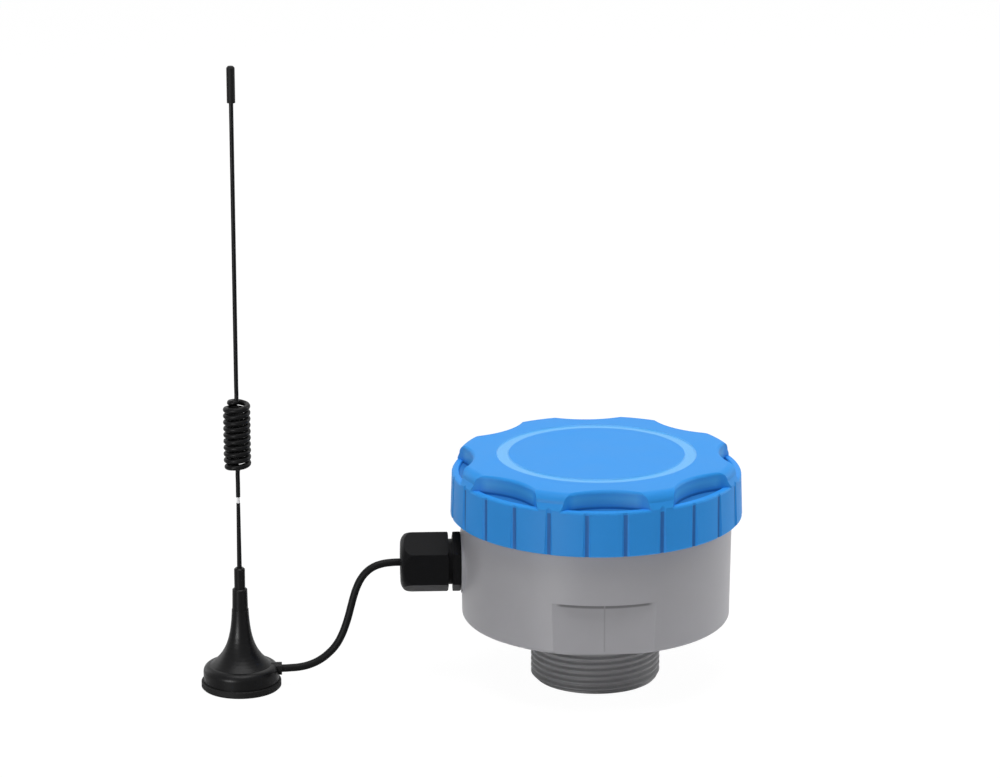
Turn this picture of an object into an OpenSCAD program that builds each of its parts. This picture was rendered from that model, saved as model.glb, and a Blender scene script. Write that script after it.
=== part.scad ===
// Battery-powered radar level transmitter: a round housing with a lobed screw lid, a male
// process thread with a flush radar lens, and a whip antenna with a magnetic foot that stands
// beside it on a short coaxial lead.
// Frame: origin at the centre of the flush lens face, at the free end of the process thread.
// +Z points up through the lid. The cable gland points along -X.

/* [Process thread] */
// Major radius of the G 1 1/2 thread
thread_r = 23.9; // [22:0.1:26]
// Height from the free end of the thread to the underside of the housing
spigot_h = 24; // [22:0.5:32]
// Height of the run-out groove between the thread and the housing
relief_h = 2.5; // [2:0.5:5]
// Depth of the run-out groove
relief_d = 1.6; // [1:0.1:2]
// Chamfer that leads into the thread
thread_chamfer = 1.5; // [0.5:0.1:2]
// Wall between the thread and the bore that takes the horn
spigot_wall = 3.4; // [2.6:0.1:4]
// Radial width of the flange that holds the spigot inside the housing
flange_w = 12; // [11:0.1:13]
// Thickness of that flange
flange_t = 4; // [3:0.5:5]
// Distance of the flange screws from the flange edge
flange_screw_inset = 3.5; // [3:0.1:3.5]
// Number of flange screws
flange_screws = 6; // [4:1:8]

/* [Radar lens and horn] */
// Thickness of the lens rim
lens_rim_t = 4; // [3:0.5:5]
// Width of the ledge in the spigot that carries the lens rim
lens_ledge_w = 2; // [1.5:0.1:3]
// Height of that ledge above the thread end
lens_ledge_h = 2; // [1.5:0.5:3]
// Height of the domed back of the lens
lens_dome_h = 3.5; // [2:0.5:6]
// Radius of the horn throat
throat_r = 2; // [1:0.5:3]
// Wall of the horn cone
horn_wall = 2.3; // [1.5:0.1:3]
// Length of the straight rim at the mouth of the horn
horn_rim_h = 5; // [3:0.5:8]
// Thickness of the horn's top plate
horn_plate_t = 1.6; // [1.2:0.1:2.5]
// Height of the rim that carries the radar board above that plate
horn_seat_h = 1; // [0.8:0.1:2]
// Distance of the radar screws from the edge of the horn's top plate
radar_screw_inset = 2.8; // [2.5:0.1:2.9]
// Number of radar screws
radar_screws = 4; // [3:1:6]

/* [Housing] */
// Gap between the spigot flange and the pillars that carry the main board
pillar_gap = 0.6; // [0.4:0.1:2]
// Radius of those pillars
pillar_r = 3; // [2.6:0.1:3.4]
// Distance of the pillars from the housing bore, bridged by a rib
pillar_rib = 0.7; // [0.4:0.1:2]
// Radius that the wall loses from the top to the bottom
housing_draft = 0.5; // [0:0.1:1]
// Height of the grey body from its underside to the lid shoulder
housing_h = 38.5; // [36:0.5:44]
// Rounding of the lower outer edge
housing_fillet = 1.5; // [1:0.1:3]
// Width of the shoulder outside the lid thread
shoulder_w = 3.3; // [2.8:0.1:4]
// Wall of the threaded neck
neck_wall = 3.4; // [2.6:0.1:4]
// Height of the threaded neck above the shoulder
neck_h = 10.5; // [8:0.5:11]
// Thickness of the housing floor
floor_t = 5.5; // [4.5:0.5:6.5]
// Height of the spanner facets above the underside
spanner_h = 19.4; // [12:0.1:26]
// Half of the angle that one pair of spanner facets spans
spanner_half_angle = 22.5; // [16:0.5:26]
// Angle of each facet to the pair's common direction
spanner_tilt = 3; // [0:0.5:8]

/* [Lid] */
// How far the lid skirt stands out past the housing
lid_overhang = 3.7; // [3.4:0.1:5]
// Height of the lid
lid_h = 22.8; // [22:0.2:28]
// Radius that the skirt loses from the rim to the lip of the pockets
lid_draft = 0.5; // [0:0.1:1]
// Number of lobes
lobes = 8; // [7:1:9]
// Depth of the hand recesses between the lobes
recess_depth = 7.8; // [6.6:0.2:10.4]
// Radius of a hand recess, seen from above
recess_round = 28; // [19:0.5:32]
// Rounding radius of the two corners of a lobe, seen from above
lobe_corner_r = 1.6; // [1:0.1:2]
// Radius that a lobe loses from the lip of the recesses to the top face
lobe_draft = 1.1; // [0.4:0.1:2]
// Rounding of the lobes' outer top edge
lobe_edge_r = 3.6; // [1:0.1:4]
// Rounding of the top edge along a recess
recess_edge_r = 1.2; // [0.6:0.1:2]
// Drop of the top face from the ring band to the lobes
crown = 0.3; // [0.2:0.1:1.6]
// Drop from the top face to the lip of the recesses
lip_drop = 6.2; // [5.6:0.1:7]
// Width of the raised lip along the skirt
lip_w = 2.7; // [2:0.1:3.5]
// Wall of the skirt
skirt_wall = 2.1; // [1.6:0.1:2.2]
// Wall between the recesses and the inside of the lid
lid_wall = 2.4; // [1.8:0.1:3]
// Thickness of the top plate
lid_plate_t = 2.7; // [2:0.1:3.5]
// Wall that carries the lid thread
thread_wall = 2.3; // [1.8:0.1:2.6]
// Thickness of the web above the seal, which is the floor of the recesses
web_t = 5.2; // [4.4:0.1:5.4]
// Number of grip grooves round the skirt
grip_grooves = 24; // [16:1:32]
// Radius of a grip groove
groove_r = 1.7; // [1.2:0.1:3]
// Depth of a grip groove at the rim
groove_depth = 0.9; // [0.3:0.1:1]
// Outer radius of the ring band on the top face
band_outer_r = 36.6; // [30:0.1:38]
// Width of the ring band
band_w = 4.3; // [2:0.1:6]
// Depth of the ring band
band_depth = 0.35; // [0.2:0.05:0.6]

/* [Cable gland] */
// Height of the gland axis above the underside of the housing
gland_h = 20.6; // [18:0.1:22.5]
// Width across the flats of the gland hexagons
gland_af = 20; // [19:0.5:22.5]
// Radius that the corners of the hexagons are turned to
gland_corner_r = 11.5; // [10.4:0.1:11.5]
// Radius of the gland thread
gland_thread_r = 7.95; // [7:0.05:8]
// Depth of the flat seat below the housing's outer radius
gland_seat_d = 1.4; // [1.3:0.1:2.5]
// Wall left between the seat and the flat inside
gland_wall = 4; // [3:0.1:4.5]
// How far the sealing washer stands out past the housing's outer radius
gland_standoff = 0.1; // [0.1:0.1:1]
// Width of the washer's edge that the flange covers
gland_washer_inset = 0.6; // [0.4:0.1:1]
// Thickness of the hexagon flange
gland_flange_t = 3; // [2.5:0.1:5]
// Gap between the flange and the dome nut
gland_nut_gap = 1.6; // [0.5:0.1:3]
// Length of the dome nut
gland_nut_l = 17.6; // [16:0.2:20]
// Length of the rounded nose of the dome nut
gland_nose_l = 4.6; // [3:0.1:6]
// Radius of the hole in the nose
gland_nose_hole_r = 5.2; // [4:0.1:6]
// Thickness of the locknut
gland_locknut_t = 4; // [3:0.1:5]
// Width across the flats of the locknut
gland_locknut_af = 19; // [18:0.5:20]
// Radius of the flat boss that the gland seats on
gland_boss_r = 11.6; // [10.5:0.1:12.5]

/* [Antenna foot] */
// Radius of the rubber foot
foot_r = 14.7; // [13:0.1:18]
// Height of the rubber foot
foot_h = 2.6; // [2:0.1:3.5]
// Step between the foot and the shell
foot_step = 0.8; // [0.3:0.1:1.2]
// Height of the shell's shoulder
shell_shoulder_h = 8.7; // [8:0.1:10]
// Rounding of the shell's shoulder
shell_round = 2.6; // [1.5:0.1:3]
// Height of the shell's neck
shell_h = 30; // [24:0.5:40]
// Length over which the flare dies away
flare_l = 6.3; // [4:0.1:9]
// Radius of the collar on the neck
collar_r = 2.9; // [2.4:0.1:3.5]
// Height of the collar
collar_h = 8; // [5:0.5:12]
// Radius of the ferrule that grips the whip
ferrule_r = 2; // [1.6:0.1:2.3]
// Height of the ferrule
ferrule_h = 7.9; // [5:0.1:12]
// Radius of the lead's sleeve on the shell
boss_r = 2.4; // [2:0.1:2.6]

/* [Whip] */
// Radius of the lower rod at the ferrule
rod_r = 0.88; // [0.7:0.02:1.2]
// Radius of the lower rod at its upper end
rod_top_r = 0.7; // [0.6:0.02:1]
// Length of the lower rod
rod_l = 24.8; // [18:0.2:40]
// Radius of the bright steel splice
splice_r = 0.55; // [0.4:0.05:0.6]
// Length of the bright steel splice
splice_l = 2.3; // [1:0.1:5]
// Radius of the wire that forms the coil
coil_wire_r = 1.05; // [0.7:0.05:1.1]
// Outer radius of the coil
coil_r = 5; // [4:0.1:7]
// Rise of the coil in one turn
coil_pitch = 2.38; // [2.2:0.02:3.2]
// Number of turns
coil_turns = 10.5; // [6:0.5:14]
// Length of the straight tail under the coil
coil_tail_l = 11; // [6:0.5:20]
// Radius of the straight wire above the coil
wire_r = 0.8; // [0.6:0.05:0.95]
// Length of the straight wire above the coil, up to the rim of the cap
wire_l = 110.5; // [60:0.5:140]
// Radius of the rubber cap
cap_r = 1.5; // [1.2:0.1:2.5]
// Length of the rubber cap
cap_l = 13.2; // [8:0.2:20]

/* [Electronics] */
// Gap between the boards and the housing bore
board_gap = 2.2; // [1.6:0.1:3]
// Thickness of the circuit boards
board_t = 1.6; // [1:0.1:2]
// Height of the link between the radar board and the main board
board_link_h = 4; // [3:0.1:5]
// Height of the spacers between the main board and the battery tray
spacer_h = 4.6; // [4:0.1:6]
// Width across the flats of those spacers
spacer_af = 5.5; // [5:0.1:6]
// Length of the radio modem
modem_l = 24; // [18:0.5:26]
// Width of the radio modem
modem_w = 26; // [18:0.5:28]
// Height of the radio modem
modem_h = 2.6; // [2:0.1:3.5]
// Radius of the pulse capacitor
capacitor_r = 4; // [3:0.1:4.2]
// Length of the pulse capacitor
capacitor_l = 18; // [12:0.5:20]
// Width of the square shield over the radar chip
shield_w = 22; // [16:0.5:24]
// Height of that shield
shield_h = 2.4; // [1.6:0.1:3]
// Travel of the reset button
button_travel = 0.5; // [0.3:0.1:0.8]
// Travel of the power slider
slider_travel = 2; // [1:0.1:3]

/* [Battery] */
// Radius of one lithium cell
cell_r = 13.1; // [12:0.1:13.3]
// Length of one cell without its terminal
cell_l = 48.6; // [44:0.2:49]
// Height of the cell terminal
terminal_h = 1.4; // [1:0.1:1.6]
// Gap between the two cells
cell_gap = 1.2; // [1:0.1:1.6]
// Thickness of the battery tray
tray_t = 1.6; // [1.2:0.1:2.2]
// Wall at each end of the battery tray
tray_wall = 1.2; // [1:0.1:2]
// Height of the saddle ribs in the battery tray
rib_h = 9; // [6:0.5:10]
// Distance of the outer saddle ribs from the ends of the cells
rib_inset = 6.3; // [3:0.1:10]
// Gap between the cells' tabs and the end walls of the tray
tray_end_gap = 1; // [0.5:0.1:2]
// Gap between the cells and their saddles
cell_seat = 0.15; // [0.1:0.05:0.3]
// Gap between the tray's corners and the housing bore
tray_gap = 4; // [2:0.5:8]
// Thickness of the welded tabs on the cells
tab_t = 0.4; // [0.2:0.1:0.6]
// Width of those tabs
tab_w = 6; // [4:0.5:8]

/* [Clearances] */
// Gap between the lid and the parts of the housing that it turns on
lid_clearance = 0.3; // [0.2:0.05:0.5]
// Radial gap of pieces that are screwed or dropped into a bore
seat_clearance = 0.1; // [0.05:0.05:0.2]
// Gap round pieces that slide by hand
slide_clearance = 0.15; // [0.1:0.05:0.25]

/* [Hidden] */
$fn = 96;
eps = 0.01;

// Heights of the housing and the lid
floor_top = spigot_h + floor_t;
shoulder_z = spigot_h + housing_h;
neck_top = shoulder_z + neck_h;
lid_bottom = shoulder_z + lid_clearance;
lid_top = lid_bottom + lid_h;
web_bottom = neck_top + lid_clearance;
web_top = web_bottom + web_t;
lip_z = lid_top - lip_drop;
plate_z = lid_top - lid_plate_t;

// Battery pack in its tray, across and along the cells
cell_y = cell_r + cell_gap / 2;
tray_half_l = cell_l / 2 + terminal_h + tab_t + tray_end_gap + tray_wall;
tray_half_w = cell_y + cell_r + cell_seat;

// Radii of the housing and the lid: the bore clears the tray's corners and the pillars, which
// stand outside the spigot flange, and the wall, neck and lid are built up from it
flange_r = thread_r + flange_w;
bore_r = max(norm([tray_half_l, tray_half_w]) + tray_gap,
    flange_r + pillar_gap + 2 * pillar_r + pillar_rib);
neck_r = bore_r + neck_wall;
housing_r = neck_r + shoulder_w;
lid_r = housing_r + lid_overhang;
lip_r = lid_r - lid_draft;
lid_thread_r = neck_r + lid_clearance;
recess_r = lid_r - lid_draft - recess_depth;
chamber_r = recess_r - lid_wall;
core_in_r = lid_thread_r + thread_wall;
core_out_r = lip_r - skirt_wall;

// Spigot, lens and horn
spigot_bore_r = thread_r - spigot_wall;
flange_top = floor_top + flange_t;
flange_screw_pcr = flange_r - flange_screw_inset;
lens_back = lens_ledge_h + lens_rim_t;
floor_hole_r = thread_r + 2 * seat_clearance;
face_seal_r = thread_r + 2.6;
screw_r = 1.45;
screw_head_r = 2.75;
screw_head_h = 2.1;
horn_top_r = flange_screw_pcr - screw_head_r - 0.3;
radar_screw_pcr = horn_top_r - radar_screw_inset;
horn_seat_z = flange_top + horn_plate_t + horn_seat_h;
horn_seat_w = 2 * radar_screw_inset;
radar_top = horn_seat_z + board_t;

// Boards and battery
board_z = radar_top + board_link_h;
board_top = board_z + board_t;
board_r = bore_r - board_gap;
pillar_pcr = bore_r - pillar_r - pillar_rib;
pillar_xy = pillar_pcr * cos(45);
tray_z = board_top + spacer_h;
cell_z = tray_z + tray_t + cell_seat + cell_r;

// Cable gland, measured outward from the housing axis
gland_z = spigot_h + gland_h;
gland_seat = housing_r - gland_seat_d;
gland_inside = gland_seat - gland_wall;
gland_washer_t = gland_seat_d + gland_standoff;
gland_washer_r = gland_af / 2 - gland_washer_inset;
gland_flange = gland_seat + gland_washer_t;
gland_neck = gland_flange + gland_flange_t;
nut_start = gland_neck + gland_nut_gap;
nut_end = nut_start + gland_nut_l;
gland_stub_end = nut_start + gland_nut_l - gland_nose_l - 1;
gland_inner_end = gland_inside - gland_locknut_t - 1;
bush_start = nut_start + 2.4;

// Antenna
antenna_x = -131.2;
antenna_y = -7.6;
boss_z = 6.6;
shell_r = foot_r - foot_step;
boss_end = foot_r + 0.3;
rod_z = shell_h + collar_h + ferrule_h;
splice_z = rod_z + rod_l;
coil_z = splice_z + splice_l;
wire_z = coil_z + coil_tail_l + coil_turns * coil_pitch;
cap_z = wire_z + wire_l;

// Coaxial lead: radius, and its route from inside the gland to the antenna foot
cable_r = 1.4;
cable_route = [[-62, 0, 44.6], [-67, 0, 44.6], [-72, 0, 44.6], [-75.5, -0.3, 44.6],
    [-79, -0.9, 44.3], [-82.2, -1.5, 43.3], [-84.8, -2, 41.5], [-86.8, -2.3, 39],
    [-88.3, -2.6, 36], [-89.5, -2.8, 32.5], [-90.5, -3, 28.8], [-91.5, -3.2, 25],
    [-92.7, -3.4, 21.2], [-94.2, -3.7, 17.5], [-96.2, -4.1, 14.1], [-98.9, -4.6, 11.2],
    [-102.1, -5.2, 8.9], [-105.7, -5.9, 7.4], [-109.4, -6.6, 6.7], [-113, -7.2, 6.6],
    [-116.5, -7.6, 6.6], [-120.5, -7.6, 6.6]];
// Coaxial plug on the main board, and the lead's route to it from inside the gland
plug_x = 6.7 - gland_inner_end;
plug_y = 13.5;
plug_z = board_top + 3.4;
rise = plug_z - gland_z;
inner_route = [[cable_route[0][0] + 0.2, 0, gland_z], [-gland_seat - 3, 0, gland_z],
    [-gland_inner_end - 2.5, 0, gland_z], [-gland_inner_end + 0.6, 0.3, gland_z + 0.16 * rise],
    [plug_x - 3.5, 1.4, gland_z + 0.52 * rise], [plug_x - 1.5, 3.2, gland_z + 0.84 * rise],
    [plug_x - 0.3, 5.6, gland_z + 0.98 * rise], [plug_x, 8.4, plug_z], [plug_x, 11, plug_z]];
// Battery plug, and the battery leads' side and place on it
power_x = bore_r - 11;
power_y = 4;
power_plug_size = [5, 8, 4];
socket_wall = 0.8;
plug_top = board_top + socket_wall + power_plug_size[2];
lead_r = 0.65;
lead_ends = [[1, power_y + 1.2], [-1, power_y - 1.2]];
// Controls along the front edge of the main board
switch_y = 7 - board_r;
reset_x = 12;
reset_r = 1.75;

// ---- Shared shapes ----

function unit(v) = v / norm(v);

// Directions along a route, averaged at its inner points
function route_tangents(p) = [for (i = [0 : len(p) - 1])
    unit(p[min(i + 1, len(p) - 1)] - p[max(i - 1, 0)])];

// Side directions carried along the route without twist
function route_sides(t, start) = [for (i = 0, s = unit(start - (start * t[0]) * t[0]);
    i < len(t);
    i = i + 1, s = i < len(t) ? unit(s - (s * t[i]) * t[i]) : s) s];

// Round tube along a route, with one radius or a list of radii
module route_tube(points, radii, start_side, sides = 8) {
    tangents = route_tangents(points);
    side_dirs = route_sides(tangents, start_side);
    rings = len(points);
    corners = [for (i = [0 : rings - 1], k = [0 : sides - 1])
        let (a = 360 * (k + 0.5) / sides, r = is_list(radii) ? radii[i] : radii)
        points[i] + r * (cos(a) * side_dirs[i] + sin(a) * cross(tangents[i], side_dirs[i]))];
    walls = [for (i = [0 : rings - 2], k = [0 : sides - 1])
        let (n = (k + 1) % sides)
        [(i + 1) * sides + k, (i + 1) * sides + n, i * sides + n, i * sides + k]];
    first_cap = [for (k = [0 : sides - 1]) k];
    last_cap = [for (k = [sides - 1 : -1 : 0]) (rings - 1) * sides + k];
    polyhedron(corners, concat(walls, [first_cap, last_cap]), convexity = 10);
}

// Children repeated on a circle about the vertical axis
module ring_of(count, radius, start = 0) {
    for (i = [0 : count - 1]) rotate(start + i * 360 / count) translate([radius, 0, 0]) children();
}

// Hollow cylinder
module tube(outer, inner, h) {
    difference() {
        cylinder(r = outer, h = h);
        translate([0, 0, -1]) cylinder(r = inner, h = h + 2);
    }
}

// Pan-head screw with its head on z = 0 and its shank below
module pan_screw(length) {
    difference() {
        union() {
            cylinder(r = screw_head_r, h = screw_head_h - 0.6);
            translate([0, 0, screw_head_h - 0.6])
                cylinder(r1 = screw_head_r, r2 = screw_head_r - 0.8, h = 0.6);
            translate([0, 0, -length]) cylinder(r = screw_r, h = length + eps);
        }
        for (a = [0, 90]) rotate(a) translate([-1.5, -0.35, screw_head_h - 1.1]) cube([3, 0.7, 2]);
    }
}

// O-ring of the given mean and section radius, centred on z = 0
module o_ring(mean, section) {
    rotate_extrude() translate([mean, 0]) circle(r = section, $fn = 32);
}

// Places a shape made along +Z on the gland axis, pointing out of the housing
module on_gland() {
    translate([0, 0, gland_z]) rotate([0, -90, 0]) children();
}

// ---- Process connection ----

module process_spigot() {
    color([0.40, 0.40, 0.41]) difference() {
        union() {
            cylinder(r1 = thread_r - thread_chamfer, r2 = thread_r, h = thread_chamfer);
            translate([0, 0, thread_chamfer])
                cylinder(r = thread_r, h = spigot_h - relief_h - thread_chamfer);
            cylinder(r = thread_r - relief_d, h = spigot_h);
            translate([0, 0, spigot_h - 0.5]) cylinder(r = thread_r, h = floor_t + 1);
            translate([0, 0, floor_top]) cylinder(r = flange_r, h = flange_t);
        }
        translate([0, 0, lens_ledge_h]) cylinder(r = spigot_bore_r, h = flange_top);
        translate([0, 0, -1]) cylinder(r = spigot_bore_r - lens_ledge_w, h = lens_ledge_h + 2);
        ring_of(flange_screws, flange_screw_pcr) translate([0, 0, floor_top - 1])
            cylinder(r = screw_r + 0.2, h = flange_t + 2, $fn = 24);
        ring_of(radar_screws, radar_screw_pcr, 45) translate([0, 0, flange_top - flange_t + 0.6])
            cylinder(r = screw_r + 0.05, h = flange_t, $fn = 24);
    }
}

module spigot_seal() {
    color([0.12, 0.12, 0.13]) translate([0, 0, floor_top - 1]) o_ring(face_seal_r, 0.95);
}

module spigot_screws() {
    color([0.75, 0.75, 0.77]) ring_of(flange_screws, flange_screw_pcr)
        translate([0, 0, flange_top]) pan_screw(flange_t + 3.5);
}

module lens() {
    front_r = spigot_bore_r - lens_ledge_w - seat_clearance;
    rim_r = spigot_bore_r - seat_clearance;
    dome_r = rim_r - 2.6;
    sphere_r = (dome_r * dome_r + lens_dome_h * lens_dome_h) / (2 * lens_dome_h);
    color([0.93, 0.93, 0.90]) difference() {
        union() {
            cylinder(r = front_r, h = lens_ledge_h + eps);
            translate([0, 0, lens_ledge_h]) cylinder(r = rim_r, h = lens_rim_t);
            intersection() {
                translate([0, 0, lens_back + lens_dome_h - sphere_r]) sphere(r = sphere_r);
                translate([0, 0, lens_back - eps]) cylinder(r = dome_r, h = lens_dome_h + 1);
            }
        }
        translate([0, 0, lens_ledge_h + lens_rim_t / 2 - 0.95]) tube(rim_r + 1, rim_r - 1.75, 1.9);
    }
}

module lens_seal() {
    color([0.12, 0.12, 0.13]) translate([0, 0, lens_ledge_h + lens_rim_t / 2])
        o_ring(spigot_bore_r - 0.95, 0.85);
}

// Conical horn with a top plate that rests on the spigot flange and carries the radar board
module horn() {
    mouth_r = spigot_bore_r - seat_clearance;
    inner_r = mouth_r - horn_wall;
    cone_top = flange_top - 2;
    color([0.78, 0.79, 0.80]) difference() {
        union() {
            translate([0, 0, lens_back]) cylinder(r = mouth_r, h = horn_rim_h);
            translate([0, 0, lens_back + horn_rim_h - eps])
                cylinder(r1 = mouth_r, r2 = throat_r + horn_wall, h = cone_top - lens_back - horn_rim_h);
            translate([0, 0, lens_back + horn_rim_h])
                cylinder(r = throat_r + horn_wall, h = flange_top - lens_back - horn_rim_h + eps);
            translate([0, 0, flange_top]) cylinder(r = horn_top_r, h = horn_plate_t);
            translate([0, 0, flange_top + horn_plate_t - eps])
                tube(horn_top_r, horn_top_r - horn_seat_w, horn_seat_h + eps);
        }
        translate([0, 0, lens_back - eps])
            cylinder(r1 = inner_r, r2 = throat_r, h = cone_top - lens_back);
        translate([0, 0, lens_back]) cylinder(r = throat_r, h = horn_seat_z);
        ring_of(radar_screws, radar_screw_pcr, 45) translate([0, 0, flange_top - 1])
            cylinder(r = screw_r + 0.15, h = horn_seat_z, $fn = 24);
    }
}

// ---- Electronics ----

module radar_sensor() {
    size = 6;
    color([0.10, 0.10, 0.11]) translate([-size / 2, -size / 2, horn_seat_z - 0.8])
        cube([size, size, 0.8]);
}

module radar_board() {
    color([0.08, 0.33, 0.20]) translate([0, 0, horn_seat_z]) difference() {
        cylinder(r = horn_top_r - 0.2, h = board_t);
        ring_of(radar_screws, radar_screw_pcr, 45) translate([0, 0, -1])
            cylinder(r = screw_r + 0.15, h = board_t + 2, $fn = 24);
    }
}

module radar_shield() {
    sheet = 0.3;
    inside_w = shield_w - 2 * sheet;
    color([0.80, 0.80, 0.82]) translate([-shield_w / 2, -shield_w / 2, radar_top]) difference() {
        cube([shield_w, shield_w, shield_h]);
        translate([sheet, sheet, -1]) cube([inside_w, inside_w, shield_h + 1 - sheet]);
    }
}

module radar_screw_set() {
    color([0.75, 0.75, 0.77]) ring_of(radar_screws, radar_screw_pcr, 45)
        translate([0, 0, radar_top]) pan_screw(radar_top - flange_top + flange_t - 1);
}

module board_link() {
    color([0.14, 0.14, 0.15]) translate([-6, 14, radar_top]) cube([12, 5, board_link_h]);
}

// Round main board with a flat that clears the gland's locknut
module main_board() {
    flat_x = gland_inner_end - 4.5;
    color([0.08, 0.33, 0.20]) translate([0, 0, board_z]) difference() {
        cylinder(r = board_r, h = board_t);
        translate([-flat_x - board_r, -board_r, -1]) cube([board_r, 2 * board_r, board_t + 2]);
        for (x = [-1, 1], y = [-1, 1]) translate([x * pillar_xy, y * pillar_xy, -1])
            cylinder(r = screw_r + 0.15, h = board_t + 2, $fn = 24);
    }
}

module modem() {
    color([0.80, 0.80, 0.82]) translate([5 - modem_l, -modem_w / 2, board_top])
        cube([modem_l, modem_w, modem_h]);
}

module pulse_capacitor() {
    color([0.16, 0.18, 0.42])
        translate([-capacitor_l / 2, board_r - capacitor_r - 3, board_top + capacitor_r])
        rotate([0, 90, 0]) cylinder(r = capacitor_r, h = capacitor_l, $fn = 48);
}

module board_spacers() {
    color([0.83, 0.70, 0.38]) for (x = [-1, 1], y = [-1, 1])
        translate([x * pillar_xy, y * pillar_xy, 0]) difference() {
            union() {
                translate([0, 0, board_top])
                    cylinder(r = spacer_af / sqrt(3), h = spacer_h, $fn = 6);
                translate([0, 0, board_z - 6]) cylinder(r = screw_r, h = 6 + board_t + eps, $fn = 24);
            }
            translate([0, 0, board_top + 0.6]) cylinder(r = screw_r + 0.05, h = spacer_h, $fn = 24);
        }
}

module power_socket() {
    well_w = power_plug_size[0] + 2 * seat_clearance;
    well_l = power_plug_size[1] + 2 * seat_clearance;
    color([0.90, 0.88, 0.80]) translate([power_x, power_y, board_top]) difference() {
        translate([-well_w / 2 - socket_wall, -well_l / 2 - socket_wall, 0])
            cube([well_w + 2 * socket_wall, well_l + 2 * socket_wall, 3.2]);
        translate([-well_w / 2, -well_l / 2, socket_wall]) cube([well_w, well_l, 4]);
    }
}

module power_plug() {
    color([0.92, 0.90, 0.84]) translate([power_x - power_plug_size[0] / 2,
        power_y - power_plug_size[1] / 2, board_top + socket_wall]) cube(power_plug_size);
}

module battery_leads() {
    start_x = cell_l / 2 + terminal_h + tab_t;
    for (lead = lead_ends) color(lead[0] > 0 ? [0.75, 0.10, 0.08] : [0.10, 0.10, 0.11])
        route_tube([
            [start_x, lead[0] * cell_y, cell_z],
            [start_x + 1.4, lead[0] * cell_y, cell_z],
            [start_x + 2.8, lead[0] * (cell_y - 0.4), cell_z - 0.6],
            [start_x + 3.8, lead[0] * (cell_y - 1.4), cell_z - 2.2],
            [start_x + 4.4, lead[0] * (cell_y - 3) + 0.6, cell_z - 4.6],
            [power_x, lead[1] + lead[0] * 3, plug_top + 5],
            [power_x, lead[1] + lead[0] * 0.8, plug_top + 2.4],
            [power_x, lead[1], plug_top + 1],
            [power_x, lead[1], plug_top]], lead_r, [0, 1, 0]);
}

module reset_switch() {
    size = 6;
    color([0.14, 0.14, 0.15]) translate([reset_x, switch_y, board_top]) difference() {
        translate([-size / 2, -size / 2, 0]) cube([size, size, 3.4]);
        translate([0, 0, 1]) cylinder(r = reset_r + slide_clearance, h = 4, $fn = 32);
    }
}

module reset_button() {
    color([0.75, 0.10, 0.08])
        translate([reset_x, switch_y, board_top + 1 + button_travel + slide_clearance])
        cylinder(r = reset_r, h = 3, $fn = 32);
}

module power_switch() {
    color([0.65, 0.66, 0.68]) translate([0, switch_y, board_top]) difference() {
        translate([-4.5, -2, 0]) cube([9, 4, 3.6]);
        translate([-1 - slider_travel / 2 - slide_clearance, -0.9 - slide_clearance, 1])
            cube([2 + slider_travel + 2 * slide_clearance, 1.8 + 2 * slide_clearance, 4]);
    }
}

module power_slider() {
    color([0.12, 0.12, 0.13]) translate([-1 - slider_travel / 2, switch_y - 0.9, board_top + 1.2])
        cube([2, 1.8, 4.4]);
}

module status_light() {
    color([0.75, 0.90, 0.72]) translate([-12, switch_y, board_top]) {
        cylinder(r = 1.9, h = 1, $fn = 32);
        cylinder(r = 1.5, h = 3, $fn = 32);
        translate([0, 0, 3]) sphere(r = 1.5, $fn = 32);
    }
}

module antenna_socket() {
    color([0.83, 0.70, 0.38]) translate([plug_x, plug_y, board_top]) {
        translate([-2.5, -2.5, 0]) cube([5, 5, 1]);
        cylinder(r = 1.6, h = 2, $fn = 32);
    }
}

module antenna_plug() {
    color([0.83, 0.70, 0.38]) difference() {
        union() {
            translate([plug_x, plug_y, board_top + 1.1])
                cylinder(r = 2.4, h = plug_z + 2 - board_top - 1.1, $fn = 32);
            translate([plug_x, plug_y, plug_z]) rotate([90, 0, 0])
                cylinder(r = 1.9, h = 4.9, $fn = 32);
        }
        translate([plug_x, plug_y, board_top]) cylinder(r = 1.65, h = 2.1, $fn = 32);
        translate([plug_x, plug_y - 2.4, plug_z]) rotate([90, 0, 0])
            cylinder(r = cable_r + 0.05, h = 12, $fn = 32);
    }
}

module antenna_lead_inner() {
    color([0.09, 0.09, 0.10]) route_tube(inner_route, cable_r, [0, 0, 1]);
}

// ---- Battery ----

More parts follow.
